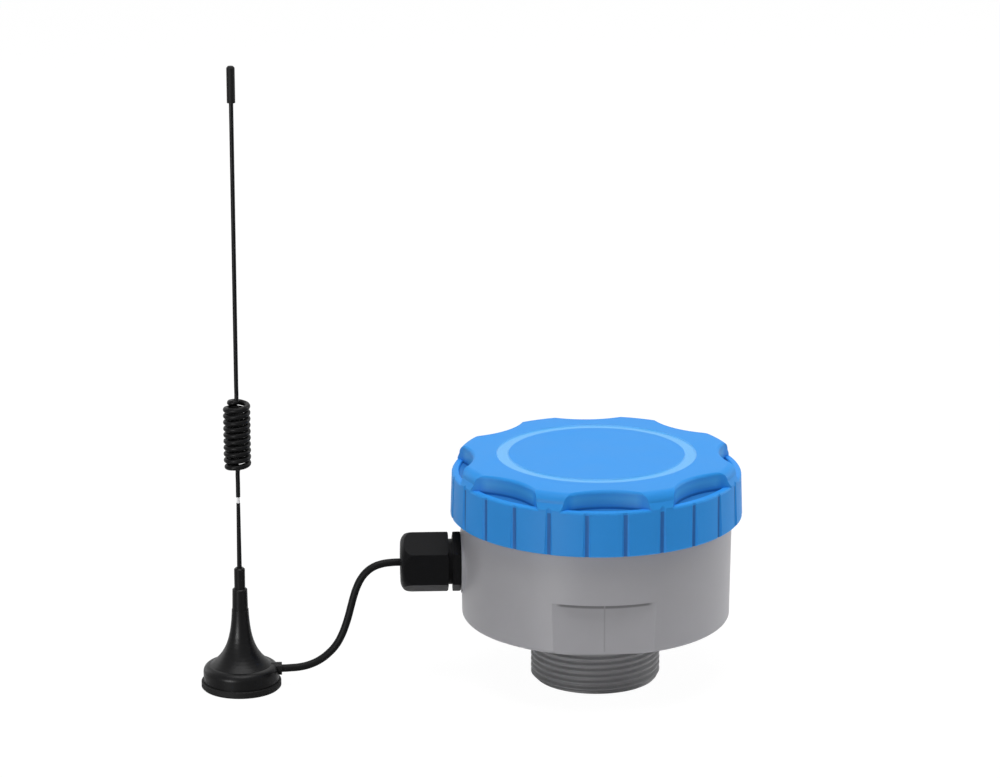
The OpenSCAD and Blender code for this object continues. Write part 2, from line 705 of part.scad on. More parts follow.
// Tray with saddle ribs under two cells, snap walls beside them and an ear on each spacer
module battery_tray() {
    rib_x = cell_l / 2 - rib_inset;
    color([0.16, 0.16, 0.17]) difference() {
        union() {
            translate([-tray_half_l, -tray_half_w, tray_z]) cube([2 * tray_half_l, 2 * tray_half_w, tray_t]);
            for (x = [-rib_x, 0, rib_x]) translate([x - 1, -tray_half_w, tray_z])
                cube([2, 2 * tray_half_w, rib_h]);
            for (s = [-1, 1]) translate([s * (tray_half_l - tray_wall / 2) - tray_wall / 2,
                -tray_half_w, tray_z]) cube([tray_wall, 2 * tray_half_w, rib_h]);
            for (x = [-1, 1], y = [-1, 1]) hull() {
                translate([x * pillar_xy, y * pillar_xy, tray_z]) cylinder(r = 3, h = tray_t, $fn = 32);
                translate([x * (tray_half_l - 4) - 2, y * (tray_half_w - 4) - 2, tray_z])
                    cube([4, 4, tray_t]);
            }
        }
        for (s = [-1, 1]) translate([-cell_l / 2 - 1.8, s * cell_y, cell_z]) rotate([0, 90, 0])
            cylinder(r = cell_r + cell_seat, h = cell_l + terminal_h + 4);
        for (x = [-1, 1], y = [-1, 1]) translate([x * pillar_xy, y * pillar_xy, tray_z - 1])
            cylinder(r = screw_r + 0.15, h = tray_t + 12, $fn = 24);
        for (x = [-1, 1], y = [-1, 1]) translate([x * pillar_xy, y * pillar_xy, tray_z + tray_t])
            cylinder(r = screw_head_r + 0.3, h = rib_h, $fn = 32);
    }
}

module tray_screws() {
    color([0.75, 0.75, 0.77]) for (x = [-1, 1], y = [-1, 1])
        translate([x * pillar_xy, y * pillar_xy, tray_z + tray_t]) pan_screw(tray_t + spacer_h - 0.9);
}

module battery_cell(side) {
    color([0.80, 0.82, 0.84]) translate([-cell_l / 2, side * cell_y, cell_z]) rotate([0, 90, 0]) {
        cylinder(r = cell_r, h = cell_l);
        cylinder(r = 3, h = cell_l + terminal_h, $fn = 32);
    }
}

module cell_tabs() {
    color([0.85, 0.85, 0.87]) {
        translate([-cell_l / 2 - tab_t, -cell_y - tab_w / 2, cell_z - tab_w / 2])
            cube([tab_t, 2 * cell_y + tab_w, tab_w]);
        for (s = [-1, 1]) translate([cell_l / 2 + terminal_h, s * cell_y - tab_w / 2, cell_z - tab_w / 2])
            cube([tab_t, tab_w, tab_w]);
    }
}

// ---- Housing ----

// Pot with a threaded neck, spanner facets, a gland seat and pillars for the main board
module housing() {
    bottom_r = housing_r - housing_draft;
    facet_dist = (housing_r - housing_draft / 2) * cos(spanner_half_angle - spanner_tilt);
    pillar_top = board_z;
    boss_start = gland_seat - gland_wall / 2;
    color([0.62, 0.61, 0.63]) difference() {
        union() {
            rotate_extrude() {
                polygon([[0, spigot_h], [bottom_r - housing_fillet, spigot_h],
                    [bottom_r, spigot_h + housing_fillet], [housing_r, shoulder_z - 0.5],
                    [housing_r - 0.5, shoulder_z], [neck_r, shoulder_z],
                    [neck_r, neck_top - 0.8], [neck_r - 0.8, neck_top], [0, neck_top]]);
                translate([bottom_r - housing_fillet, spigot_h + housing_fillet])
                    circle(r = housing_fillet);
            }
            on_gland() translate([0, 0, boss_start])
                cylinder(r = gland_boss_r, h = housing_r - boss_start);
        }
        difference() {
            translate([0, 0, floor_top]) cylinder(r = bore_r, h = neck_top);
            for (x = [-1, 1], y = [-1, 1]) translate([x * pillar_xy, y * pillar_xy, floor_top - 1])
                cylinder(r = pillar_r, h = pillar_top - floor_top + 1, $fn = 48);
            for (x = [-1, 1], y = [-1, 1]) rotate(atan2(y, x))
                translate([pillar_pcr, -0.8, floor_top - 1])
                    cube([bore_r - pillar_pcr + 1, 1.6, pillar_top - floor_top + 1]);
        }
        for (x = [-1, 1], y = [-1, 1]) translate([x * pillar_xy, y * pillar_xy, pillar_top - 6.5])
            cylinder(r = screw_r + 0.05, h = 7.5, $fn = 24);
        translate([0, 0, spigot_h - 1]) cylinder(r = floor_hole_r, h = floor_t + 2);
        translate([0, 0, floor_top - 2]) tube(face_seal_r + 1.3, face_seal_r - 1.3, 3);
        ring_of(flange_screws, flange_screw_pcr) translate([0, 0, floor_top - 3.8])
            cylinder(r = screw_r + 0.05, h = 5, $fn = 24);
        for (front = [0, 180], s = [-1, 1]) rotate(front + s * spanner_tilt)
            translate([-housing_r, -facet_dist - housing_r, spigot_h - 1])
                cube([2 * housing_r, housing_r, spanner_h + 1]);
        on_gland() {
            translate([0, 0, gland_seat]) cylinder(r = gland_washer_r + slide_clearance, h = 10);
            translate([0, 0, gland_inside - 5])
                cylinder(r = gland_locknut_af / sqrt(3) + slide_clearance, h = 5);
            cylinder(r = gland_thread_r + 0.25, h = housing_r);
        }
    }
}

// ---- Lid ----

// Distance of a recess's axis from the lid's axis
function recess_axis() = recess_r + recess_round;

// Disc with a round recess between each two lobes, and round corners where they meet
module lobed_outline() {
    half = 180 / lobes;
    corner_d = lip_r - lobe_corner_r;
    reach = recess_round + lobe_corner_r;
    turn = acos((corner_d * corner_d + recess_axis() * recess_axis() - reach * reach)
        / (2 * corner_d * recess_axis()));
    corners = [for (i = [0 : lobes - 1], s = [-1, 1])
        let (a = 2 * half * (i + 0.5) + s * turn) corner_d * [cos(a), sin(a)]];
    touch = [for (i = [0 : lobes - 1], s = [-1, 1])
        let (a = 2 * half * (i + 0.5), corner = corner_d * [cos(a + s * turn), sin(a + s * turn)])
        corner + lobe_corner_r * unit(recess_axis() * [cos(a), sin(a)] - corner)];
    difference() {
        polygon([for (i = [0 : lobes - 1])
            each [corners[2 * i], touch[2 * i], touch[2 * i + 1], corners[2 * i + 1]]]);
        for (i = [0 : lobes - 1]) rotate(2 * half * (i + 0.5)) translate([recess_axis(), 0])
            circle(r = recess_round);
    }
    for (i = [0 : lobes - 1]) rotate(2 * half * i) intersection() {
        circle(r = lip_r);
        polygon([[0, 0], 2 * lip_r * [cos(half - turn), -sin(half - turn)],
            2 * lip_r * [cos(half - turn), sin(half - turn)]]);
    }
    for (corner = corners) translate(corner) circle(r = lobe_corner_r, $fn = 48);
}

// Half section that bounds the lobed top: flat in the middle, a crown outside the ring band,
// and a round edge over a slightly tapered side
module crown_profile() {
    top_r = lip_r - lobe_draft;
    edge_z = lid_top - crown - lobe_edge_r;
    polygon([[0, web_top - 2], [lip_r, web_top - 2], [lip_r, lip_z], [top_r, edge_z],
        [top_r - lobe_edge_r, edge_z + lobe_edge_r], [band_outer_r, lid_top], [0, lid_top]]);
    translate([top_r - lobe_edge_r, edge_z]) circle(r = lobe_edge_r);
}

module lid() {
    lobe_turn = 180 / lobes - 90;
    lip_in_r = lip_r - lip_w;
    recess_top = lid_top - crown * (recess_r - band_outer_r) / (lip_r - lobe_edge_r - band_outer_r);
    color([0.25, 0.55, 0.90]) difference() {
        union() {
            // Skirt with its raised lip, down to the rim
            rotate_extrude() polygon([[lid_thread_r, lid_bottom], [lid_r - 0.6, lid_bottom],
                [lid_r, lid_bottom + 0.6], [lip_r, lip_z - 0.8], [lip_r - 0.3, lip_z - 0.25],
                [lip_r - 0.9, lip_z], [lip_in_r + 0.3, lip_z], [lip_in_r, lip_z - 0.3],
                [lip_in_r - 0.2, web_top], [chamber_r, web_top], [chamber_r, web_bottom],
                [lid_thread_r, web_bottom]]);
            // Lobed top
            intersection() {
                translate([0, 0, web_top - 1]) linear_extrude(lid_top - web_top + 1)
                    rotate(lobe_turn) lobed_outline();
                rotate_extrude() crown_profile();
            }
        }
        // Round top edge along each recess
        ring_of(lobes, recess_axis(), -90) rotate_extrude() difference() {
            translate([recess_round - 1, recess_top - recess_edge_r])
                square([recess_edge_r + 1, recess_edge_r + 1]);
            translate([recess_round + recess_edge_r, recess_top - recess_edge_r])
                circle(r = recess_edge_r, $fn = 48);
        }
        // Room for the cells under the top plate
        translate([0, 0, web_bottom - 1]) cylinder(r = chamber_r, h = plate_z - web_bottom + 1);
        // Gap cored out between the thread wall and the skirt, and up into the lobes
        difference() {
            translate([0, 0, lid_bottom - 1]) tube(core_out_r, core_in_r, web_bottom - lid_bottom + 0.2);
            for (i = [0 : 2 * lobes - 1]) rotate(lobe_turn + (i + 0.5) * 180 / lobes)
                translate([core_in_r - 1, -0.8, lid_bottom + 1.5])
                    cube([core_out_r - core_in_r + 2, 1.6, web_bottom - lid_bottom]);
        }
        intersection() {
            translate([0, 0, web_bottom - 2]) tube(core_out_r, core_in_r - 2, plate_z - web_bottom);
            translate([0, 0, web_bottom - 2]) ring_of(lobes, core_in_r, lobe_turn)
                translate([-2, -2.2, 0]) cube([8, 4.4, lid_h]);
        }
        // Groove for the seal
        translate([0, 0, web_bottom - 1]) tube((neck_r + bore_r) / 2 + 1.3, (neck_r + bore_r) / 2 - 1.3,
            3.05);
        // Grip grooves
        ring_of(grip_grooves, lid_r - groove_depth + groove_r, lobe_turn)
            translate([0, 0, lid_bottom - 1]) cylinder(r = groove_r, h = lid_h + 2, $fn = 32);
        // Ring band on the top face
        translate([0, 0, lid_top]) rotate_extrude() polygon([[band_outer_r, 1], [band_outer_r, 0],
            [band_outer_r - band_depth, -band_depth],
            [band_outer_r - band_w + band_depth, -band_depth],
            [band_outer_r - band_w, 0], [band_outer_r - band_w, 1]]);
    }
}

module lid_seal() {
    color([0.12, 0.12, 0.13]) translate([0, 0, neck_top + 1.05]) o_ring((neck_r + bore_r) / 2, 1);
}

// ---- Cable gland ----

// Hexagon with turned corners, from start to end, rounded or chamfered by the given profile
module gland_hex(start, end, near_chamfer, far_round, far_r) {
    far_flat = end - far_round;
    intersection() {
        translate([0, 0, start]) cylinder(r = gland_af / sqrt(3), h = end - start, $fn = 6);
        rotate_extrude() {
            polygon([[0, start], [gland_corner_r - near_chamfer, start],
                [gland_corner_r, start + near_chamfer / 2], [gland_corner_r, far_flat],
                [far_r, end], [0, end]]);
            intersection() {
                translate([0, far_flat]) square([gland_corner_r, far_round]);
                translate([gland_corner_r - far_round, far_flat]) circle(r = far_round);
            }
        }
    }
}

module gland_washer() {
    color([0.10, 0.10, 0.11]) on_gland() translate([0, 0, gland_seat])
        tube(gland_washer_r, gland_thread_r + seat_clearance, gland_washer_t);
}

module gland_body() {
    stub_r = gland_thread_r + 0.45;
    color([0.09, 0.09, 0.10]) on_gland() difference() {
        union() {
            gland_hex(gland_flange, gland_neck, 0.8, 0.5, gland_corner_r - 0.5);
            translate([0, 0, gland_inner_end])
                cylinder(r = gland_thread_r, h = gland_flange - gland_inner_end + 1);
            translate([0, 0, gland_neck - 1]) cylinder(r = stub_r, h = gland_stub_end - gland_neck + 1);
        }
        translate([0, 0, gland_inner_end - 1]) cylinder(r = 4.2, h = gland_stub_end);
        translate([0, 0, bush_start]) cylinder(r = 6.2, h = gland_stub_end);
    }
}

module gland_locknut() {
    color([0.09, 0.09, 0.10]) on_gland() translate([0, 0, gland_inside - gland_locknut_t]) difference() {
        cylinder(r = gland_locknut_af / sqrt(3), h = gland_locknut_t, $fn = 6);
        translate([0, 0, -1]) cylinder(r = gland_thread_r + seat_clearance, h = gland_locknut_t + 2);
    }
}

module gland_bush() {
    tip_r = gland_nose_hole_r - 0.8;
    taper = nut_end - 1.6 - gland_stub_end;
    color([0.14, 0.14, 0.15]) on_gland() difference() {
        union() {
            translate([0, 0, bush_start]) cylinder(r = 6.1, h = gland_stub_end - bush_start);
            translate([0, 0, gland_stub_end - eps]) cylinder(r1 = 6.1, r2 = tip_r, h = taper);
        }
        translate([0, 0, bush_start - 1]) cylinder(r = cable_r + 0.05, h = 20, $fn = 48);
    }
}

module gland_nut() {
    color([0.09, 0.09, 0.10]) on_gland() difference() {
        gland_hex(nut_start, nut_end, 0.8, gland_nose_l, gland_corner_r - gland_nose_l);
        translate([0, 0, nut_start - 1])
            cylinder(r = gland_thread_r + 0.45 + seat_clearance, h = gland_stub_end - nut_start + 1.3);
        translate([0, 0, gland_stub_end]) cylinder(r1 = 7, r2 = gland_nose_hole_r, h = 2.6);
        translate([0, 0, nut_start]) cylinder(r = gland_nose_hole_r, h = gland_nut_l + 1);
    }
}

// ---- Antenna ----

module on_antenna() {
    translate([antenna_x, antenna_y, 0]) children();
}

module antenna_cable() {
    color([0.09, 0.09, 0.10]) route_tube(cable_route, cable_r, [0, 0, 1]);
}

// Rubber foot: a shallow cup under the magnet
module antenna_foot() {
    color([0.12, 0.12, 0.13]) on_antenna() difference() {
        rotate_extrude() polygon([[0, 0], [foot_r - 0.5, 0], [foot_r, 0.5], [foot_r, foot_h - 0.3],
            [foot_r - 0.3, foot_h], [0, foot_h]]);
        translate([0, 0, 0.7]) cylinder(r = shell_r - 1.2, h = foot_h);
    }
}

module antenna_magnet() {
    color([0.55, 0.55, 0.57]) on_antenna() translate([0, 0, 0.7])
        cylinder(r = shell_r - 1.3, h = boss_z - boss_r - 1.4);
}

// Flared shell: a rounded shoulder that runs up into a slim neck, with a sleeve for the lead
module antenna_shell() {
    shoulder_r = shell_r - shell_round;
    steps = 14;
    flare = [for (i = [0 : steps])
        let (z = shell_shoulder_h + (shell_h - shell_shoulder_h) * pow(i / steps, 1.5))
        [collar_r - 0.1 + (shoulder_r - collar_r + 0.1) * exp(-(z - shell_shoulder_h) / flare_l), z]];
    color([0.07, 0.07, 0.08]) on_antenna() difference() {
        union() {
            rotate_extrude() {
                polygon(concat([[0, foot_h], [shell_r, foot_h],
                    [shell_r, shell_shoulder_h - shell_round]], flare, [[0, shell_h]]));
                translate([shoulder_r, shell_shoulder_h - shell_round]) circle(r = shell_round);
            }
            translate([0, 0, boss_z]) rotate([0, 90, 0]) cylinder(r = boss_r, h = boss_end, $fn = 48);
        }
        translate([0, 0, foot_h - 1]) cylinder(r = shell_r - 1.2, h = boss_z - boss_r - foot_h + 0.4);
        translate([8, 0, boss_z]) rotate([0, 90, 0]) cylinder(r = cable_r + 0.05, h = 20, $fn = 48);
    }
}

module whip_collar() {
    color([0.09, 0.09, 0.10]) on_antenna() translate([0, 0, shell_h]) union() {
        cylinder(r1 = collar_r, r2 = collar_r - 0.15, h = collar_h - 0.4, $fn = 64);
        translate([0, 0, collar_h - 0.4])
            cylinder(r1 = collar_r - 0.15, r2 = collar_r - 0.6, h = 0.4, $fn = 64);
    }
}

module whip_ferrule() {
    color([0.09, 0.09, 0.10]) on_antenna() translate([0, 0, shell_h + collar_h]) union() {
        cylinder(r = ferrule_r, h = ferrule_h - 0.5, $fn = 48);
        translate([0, 0, ferrule_h - 0.5]) cylinder(r1 = ferrule_r, r2 = ferrule_r - 0.5, h = 0.5, $fn = 48);
    }
}

module whip_rod() {
    color([0.07, 0.07, 0.08]) on_antenna() translate([0, 0, rod_z])
        cylinder(r1 = rod_r, r2 = rod_top_r, h = rod_l, $fn = 32);
}

module whip_splice() {
    color([0.80, 0.80, 0.82]) on_antenna() translate([0, 0, splice_z])
        cylinder(r = splice_r, h = splice_l, $fn = 32);
}

// One wire: a straight tail, a coil whose first and last half turns swing out from the axis,
// and the long straight wire above it
module whip_coil() {
    per_turn = 12;
    mean_r = coil_r - coil_wire_r;
    steps = coil_turns * per_turn;
    ease = function (x) let (u = max(0, min(1, x))) u * u * (3 - 2 * u);
    swing = function (t) min(ease(2 * t + 0.15), ease(2 * (coil_turns - t) + 0.15));
    winding = [for (i = [0 : steps])
        let (t = i / per_turn, r = mean_r * swing(t))
        [r * cos(360 * t + 60), r * sin(360 * t + 60), coil_z + coil_tail_l + coil_pitch * t]];
    path = concat([[0, 0, coil_z], [0, 0, coil_z + coil_tail_l * 0.5], [0, 0, coil_z + coil_tail_l - 1.2]],
        winding, [[0, 0, wire_z + 1.2], [0, 0, wire_z + wire_l / 2], [0, 0, cap_z + cap_l - 3.2]]);
    last = len(path) - 1;
    radii = [for (i = [0 : last]) i < 3 || i > last - 3 ? wire_r : coil_wire_r];
    color([0.07, 0.07, 0.08]) on_antenna() route_tube(path, radii, [0, 1, 0]);
}

module whip_cap() {
    color([0.10, 0.10, 0.11]) on_antenna() translate([0, 0, cap_z]) difference() {
        union() {
            cylinder(r = cap_r, h = cap_l - 0.6, $fn = 32);
            translate([0, 0, cap_l - 0.6]) cylinder(r1 = cap_r, r2 = cap_r - 0.5, h = 0.6, $fn = 32);
        }
        translate([0, 0, -1]) cylinder(r = wire_r + 0.05, h = cap_l - 2, $fn = 32);
    }
}

housing();
lid();
lid_seal();
process_spigot();
spigot_seal();
spigot_screws();
lens();
lens_seal();
horn();
radar_sensor();
radar_board();
radar_shield();
radar_screw_set();  // radar_screws
board_link();
main_board();
modem();
pulse_capacitor();
board_spacers();
power_socket();
power_plug();
battery_leads();
reset_switch();
reset_button();
power_switch();
power_slider();
status_light();
antenna_socket();
antenna_plug();
antenna_lead_inner();
battery_tray();
tray_screws();
battery_cell(1);  // battery_cell_left
battery_cell(-1);  // battery_cell_right
cell_tabs();
gland_washer();
gland_body();
gland_locknut();
gland_bush();
gland_nut();
antenna_cable();
antenna_foot();
antenna_magnet();
antenna_shell();
whip_collar();
whip_ferrule();
whip_rod();
whip_splice();
whip_coil();
whip_cap();
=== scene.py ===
"""Looks of a battery-powered radar level transmitter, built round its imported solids.

Everything is in metres, in the frame of the solids: the origin is the centre of the lens face at
the end of the process thread, and +Z runs up through the lid. The gland points along -X.
"""
import math

import bmesh
import bpy
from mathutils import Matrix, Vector


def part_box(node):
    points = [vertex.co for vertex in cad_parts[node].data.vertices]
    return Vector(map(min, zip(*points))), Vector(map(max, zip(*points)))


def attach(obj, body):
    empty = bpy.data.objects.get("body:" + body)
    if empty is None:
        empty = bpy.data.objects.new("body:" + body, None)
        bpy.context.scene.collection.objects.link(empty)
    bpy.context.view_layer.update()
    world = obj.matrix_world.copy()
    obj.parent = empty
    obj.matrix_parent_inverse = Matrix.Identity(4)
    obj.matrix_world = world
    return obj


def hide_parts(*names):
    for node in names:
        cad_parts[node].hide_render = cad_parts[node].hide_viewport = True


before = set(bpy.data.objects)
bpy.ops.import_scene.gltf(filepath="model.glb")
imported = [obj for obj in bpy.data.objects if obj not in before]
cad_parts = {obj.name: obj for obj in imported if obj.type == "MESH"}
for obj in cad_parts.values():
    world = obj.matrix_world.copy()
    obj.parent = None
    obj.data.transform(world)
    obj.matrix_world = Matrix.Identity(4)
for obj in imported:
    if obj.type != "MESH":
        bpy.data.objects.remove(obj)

scene = bpy.context.scene
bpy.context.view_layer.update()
MM = 0.001


# ---- Camera, light and floor ----
# A long lens looks at the front from a little above. Soft boxes and a dim room light the object,
# and a low strip shows in glossy surfaces only. The room and the floor look white to the camera,
# and the floor keeps a faint shadow.

camera_side = math.radians(-2.65)
camera_rise = math.radians(16.04)
camera_aim = Vector((-0.0354, 0.0, 0.11045))
camera_distance = 1.52509
back_to_camera = Vector((
    math.sin(camera_side) * math.cos(camera_rise),
    -math.cos(camera_side) * math.cos(camera_rise),
    math.sin(camera_rise)))
camera = bpy.data.objects.new("camera", bpy.data.cameras.new("camera"))
camera.data.sensor_width = 36.0
camera.data.lens = 150.66
camera.location = camera_aim + camera_distance * back_to_camera
camera.rotation_euler = (-back_to_camera).to_track_quat("-Z", "Y").to_euler()
scene.collection.objects.link(camera)
scene.camera = camera
scene.view_settings.view_transform = "Standard"

lamps_aim = Vector((0.0, 0.0, 0.06))
dim_room = 0.08
floor_size = 4.0
floor_glow_strength = 1.05
floor_glow_share = 0.92


def calculate(tree, operation, *values):
    """The result of a Math node whose inputs are numbers or other nodes' outputs."""
    node = tree.nodes.new("ShaderNodeMath")
    node.operation = operation
    for socket, value in zip(node.inputs, values):
        if isinstance(value, bpy.types.NodeSocket):
            tree.links.new(value, socket)
        else:
            socket.default_value = value
    return node.outputs[0]


def surface_material(name, colour, roughness, metallic=0.0, specular=0.5):
    """A new material with one Principled shader, and that shader."""
    material = bpy.data.materials.new(name)
    material.use_nodes = True
    material.diffuse_color = (*colour, 1.0)
    shader = material.node_tree.nodes["Principled BSDF"]
    shader.inputs["Base Color"].default_value = (*colour, 1.0)
    shader.inputs["Roughness"].default_value = roughness
    shader.inputs["Metallic"].default_value = metallic
    shader.inputs["Specular IOR Level"].default_value = specular
    return material, shader


def soft_box(name, azimuth, elevation, distance, width, height, power, only_gloss=False):
    """A rectangular lamp that faces the middle of the object."""
    a, e = math.radians(azimuth), math.radians(elevation)
    out = Vector((math.sin(a) * math.cos(e), -math.cos(a) * math.cos(e), math.sin(e)))
    lamp = bpy.data.lights.new(name, "AREA")
    lamp.shape = "RECTANGLE"
    lamp.size = width
    lamp.size_y = height
    lamp.energy = power
    box = bpy.data.objects.new(name, lamp)
    box.location = lamps_aim + distance * out
    box.rotation_euler = (-out).to_track_quat("-Z", "Y").to_euler()
    box.visible_diffuse = not only_gloss
    scene.collection.objects.link(box)


soft_box("top_box", -20, 80, 1.4, 1.0, 1.0, 16)
soft_box("front_box", -32, 30, 1.5, 0.6, 0.8, 1.5)
soft_box("right_box", 112, 15, 1.4, 0.5, 1.0, 6)
soft_box("left_box", -130, 15, 1.4, 0.5, 1.0, 2)
soft_box("back_box", 170, 45, 1.5, 0.9, 0.6, 2)
soft_box("front_strip", -38, 0, 1.5, 0.50, 0.10, 16, only_gloss=True)

room = bpy.data.worlds.new("white_room")
room.use_nodes = True
scene.world = room
room_tree = room.node_tree
room_light = room_tree.nodes["Background"]
room_light.inputs["Color"].default_value = (1.0, 1.0, 1.0, 1.0)
room_rays = room_tree.nodes.new("ShaderNodeLightPath")
seen_or_glossy = calculate(room_tree, "ADD", room_rays.outputs["Is Camera Ray"],
    room_rays.outputs["Is Glossy Ray"])
seen_at_all = calculate(room_tree, "ADD", seen_or_glossy,
    room_rays.outputs["Is Transmission Ray"])
room_strength = room_tree.nodes.new("ShaderNodeMapRange")
room_strength.inputs["To Min"].default_value = dim_room
room_strength.inputs["To Max"].default_value = 1.0
room_tree.links.new(seen_at_all, room_strength.inputs["Value"])
room_tree.links.new(room_strength.outputs["Result"], room_light.inputs["Strength"])

floor_mesh = bmesh.new()
bmesh.ops.create_grid(floor_mesh, x_segments=1, y_segments=1, size=floor_size)
floor = bpy.data.objects.new("floor", bpy.data.meshes.new("floor"))
floor_mesh.to_mesh(floor.data)
floor_mesh.free()
scene.collection.objects.link(floor)

floor_white, floor_surface = surface_material("floor_white", (0.92, 0.92, 0.92), 0.9,
    specular=0.1)
floor_tree = floor_white.node_tree
floor_glow = floor_tree.nodes.new("ShaderNodeEmission")
floor_glow.inputs["Strength"].default_value = floor_glow_strength
floor_rays = floor_tree.nodes.new("ShaderNodeLightPath")
glow_share = calculate(floor_tree, "MULTIPLY", floor_rays.outputs["Is Camera Ray"],
    floor_glow_share)
floor_mix = floor_tree.nodes.new("ShaderNodeMixShader")
floor_end = floor_tree.nodes["Material Output"]
floor_tree.links.new(glow_share, floor_mix.inputs["Fac"])
floor_tree.links.new(floor_surface.outputs["BSDF"], floor_mix.inputs[1])
floor_tree.links.new(floor_glow.outputs["Emission"], floor_mix.inputs[2])
floor_tree.links.new(floor_mix.outputs["Shader"], floor_end.inputs["Surface"])
floor.data.materials.append(floor_white)


# ---- Coaxial lead ----
# A limp 2.8 mm lead with a black extruded jacket. It leaves the gland straight, droops to the
# floor in one curve and goes into the side of the antenna's foot.

lead_diameter = 2.8 * MM
lead_route = [(-62, 0, 44.6), (-67, 0, 44.6), (-72, 0, 44.6), (-75.5, -0.3, 44.6),
    (-79, -0.9, 44.3), (-82.2, -1.5, 43.3), (-84.8, -2, 41.5), (-86.8, -2.3, 39),
    (-88.3, -2.6, 36), (-89.5, -2.8, 32.5), (-90.5, -3, 28.8), (-91.5, -3.2, 25),
    (-92.7, -3.4, 21.2), (-94.2, -3.7, 17.5), (-96.2, -4.1, 14.1), (-98.9, -4.6, 11.2),
    (-102.1, -5.2, 8.9), (-105.7, -5.9, 7.4), (-109.4, -6.6, 6.7), (-113, -7.2, 6.6),
    (-116.5, -7.6, 6.6), (-120.5, -7.6, 6.6)]
moulded_relief_depth = 0.2 * MM


def group_socket(group, name, kind, way="INPUT", value=None):
    """A socket on a node group, with its default."""
    socket = group.interface.new_socket(name=name, in_out=way, socket_type=kind)
    if value is not None:
        socket.default_value = value


def surface_group(name, colour, numbers):
    """A node group that takes a place, a colour and numbers and puts out a surface's values."""
    group = bpy.data.node_groups.new(name, "ShaderNodeTree")
    group_socket(group, "Vector", "NodeSocketVector")
    group_socket(group, "Colour", "NodeSocketColor", value=(*colour, 1.0))
    for label, number in numbers.items():
        group_socket(group, label, "NodeSocketFloat", value=number)
    group_socket(group, "Colour", "NodeSocketColor", "OUTPUT")
    group_socket(group, "Roughness", "NodeSocketFloat", "OUTPUT")
    group_socket(group, "Height", "NodeSocketFloat", "OUTPUT")
    return group, group.nodes.new("NodeGroupInput"), group.nodes.new("NodeGroupOutput")


def drift_surface(group, given, put_out, pattern, shade, drift, height):
    """Lets a pattern shift the colour and the roughness, and puts them out with a height."""
    centred = calculate(group, "SUBTRACT", pattern, 0.5)
    shaded = group.nodes.new("ShaderNodeMix")
    shaded.data_type = "RGBA"
    shaded.blend_type = "MULTIPLY"
    shaded.inputs["Factor"].default_value = 1.0
    group.links.new(given.outputs["Colour"], shaded.inputs["A"])
    group.links.new(calculate(group, "MULTIPLY_ADD", centred, shade, 1.0), shaded.inputs["B"])
    roughness = calculate(group, "MULTIPLY_ADD", centred, drift, given.outputs["Roughness"])
    group.links.new(shaded.outputs["Result"], put_out.inputs["Colour"])
    group.links.new(roughness, put_out.inputs["Roughness"])
    group.links.new(height, put_out.inputs["Height"])


def make_moulding_group():
    """Colour drift, roughness and relief of a moulded or extruded polymer surface."""
    group, given, put_out = surface_group("moulded_surface", (0.5, 0.5, 0.5),
        {"Shade": 0.06, "Roughness": 0.5, "Roughness Drift": 0.08, "Grain": 2500.0})
    flow = group.nodes.new("ShaderNodeTexNoise")
    flow.inputs["Scale"].default_value = 60.0
    flow.inputs["Detail"].default_value = 4.0
    grain = group.nodes.new("ShaderNodeTexNoise")
    grain.inputs["Detail"].default_value = 3.0
    group.links.new(given.outputs["Vector"], flow.inputs["Vector"])
    group.links.new(given.outputs["Vector"], grain.inputs["Vector"])
    group.links.new(given.outputs["Grain"], grain.inputs["Scale"])
    drift_surface(group, given, put_out, flow.outputs["Fac"], given.outputs["Shade"],
        given.outputs["Roughness Drift"], grain.outputs["Fac"])
    return group


moulded_surface = make_moulding_group()


def lay_skin(material, shader, group, place, colour, numbers, relief, depth):
    """Puts a surface group and a bump between a place and a material's shader."""
    tree = material.node_tree
    skin = tree.nodes.new("ShaderNodeGroup")
    skin.node_tree = group
    skin.inputs["Colour"].default_value = (*colour, 1.0)
    for label, number in numbers.items():
        skin.inputs[label].default_value = number
    bump = tree.nodes.new("ShaderNodeBump")
    bump.inputs["Strength"].default_value = relief
    bump.inputs["Distance"].default_value = depth
    tree.links.new(place, skin.inputs["Vector"])
    tree.links.new(skin.outputs["Colour"], shader.inputs["Base Color"])
    tree.links.new(skin.outputs["Roughness"], shader.inputs["Roughness"])
    tree.links.new(skin.outputs["Height"], bump.inputs["Height"])
    tree.links.new(bump.outputs["Normal"], shader.inputs["Normal"])


def moulded(name, colour, roughness, shade=0.06, drift=0.08, grain=2500.0, relief=0.05,
        specular=0.5):
    """A polymer with flow shading, uneven gloss and a fine moulded grain."""
    material, shader = surface_material(name, colour, roughness, specular=specular)
    place = material.node_tree.nodes.new("ShaderNodeTexCoord")
    numbers = {"Shade": shade, "Roughness": roughness, "Roughness Drift": drift, "Grain": grain}
    lay_skin(material, shader, moulded_surface, place.outputs["Object"], colour, numbers, relief,
        moulded_relief_depth)
    return material


def dress(material, *nodes):
    """Gives CAD solids their finish."""
    for name in nodes:
        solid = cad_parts[name]
        solid.data.materials.clear()
        solid.data.materials.append(material)


def sweep(name, line, thickness, sides, steps, material):
    """A round wire through places, each with its share of the thickness."""
    curve = bpy.data.curves.new(name, "CURVE")
    curve.dimensions = "3D"
    curve.bevel_depth = thickness
    curve.bevel_resolution = sides
    curve.resolution_u = steps
    curve.use_fill_caps = True
    spline = curve.splines.new("BEZIER")
    spline.bezier_points.add(len(line) - 1)
    for point, (place, share) in zip(spline.bezier_points, line):
        point.co = place
        point.radius = share
        point.handle_left_type = "AUTO"
        point.handle_right_type = "AUTO"
    curve.materials.append(material)
    wire = bpy.data.objects.new(name, curve)
    scene.collection.objects.link(wire)
    return wire


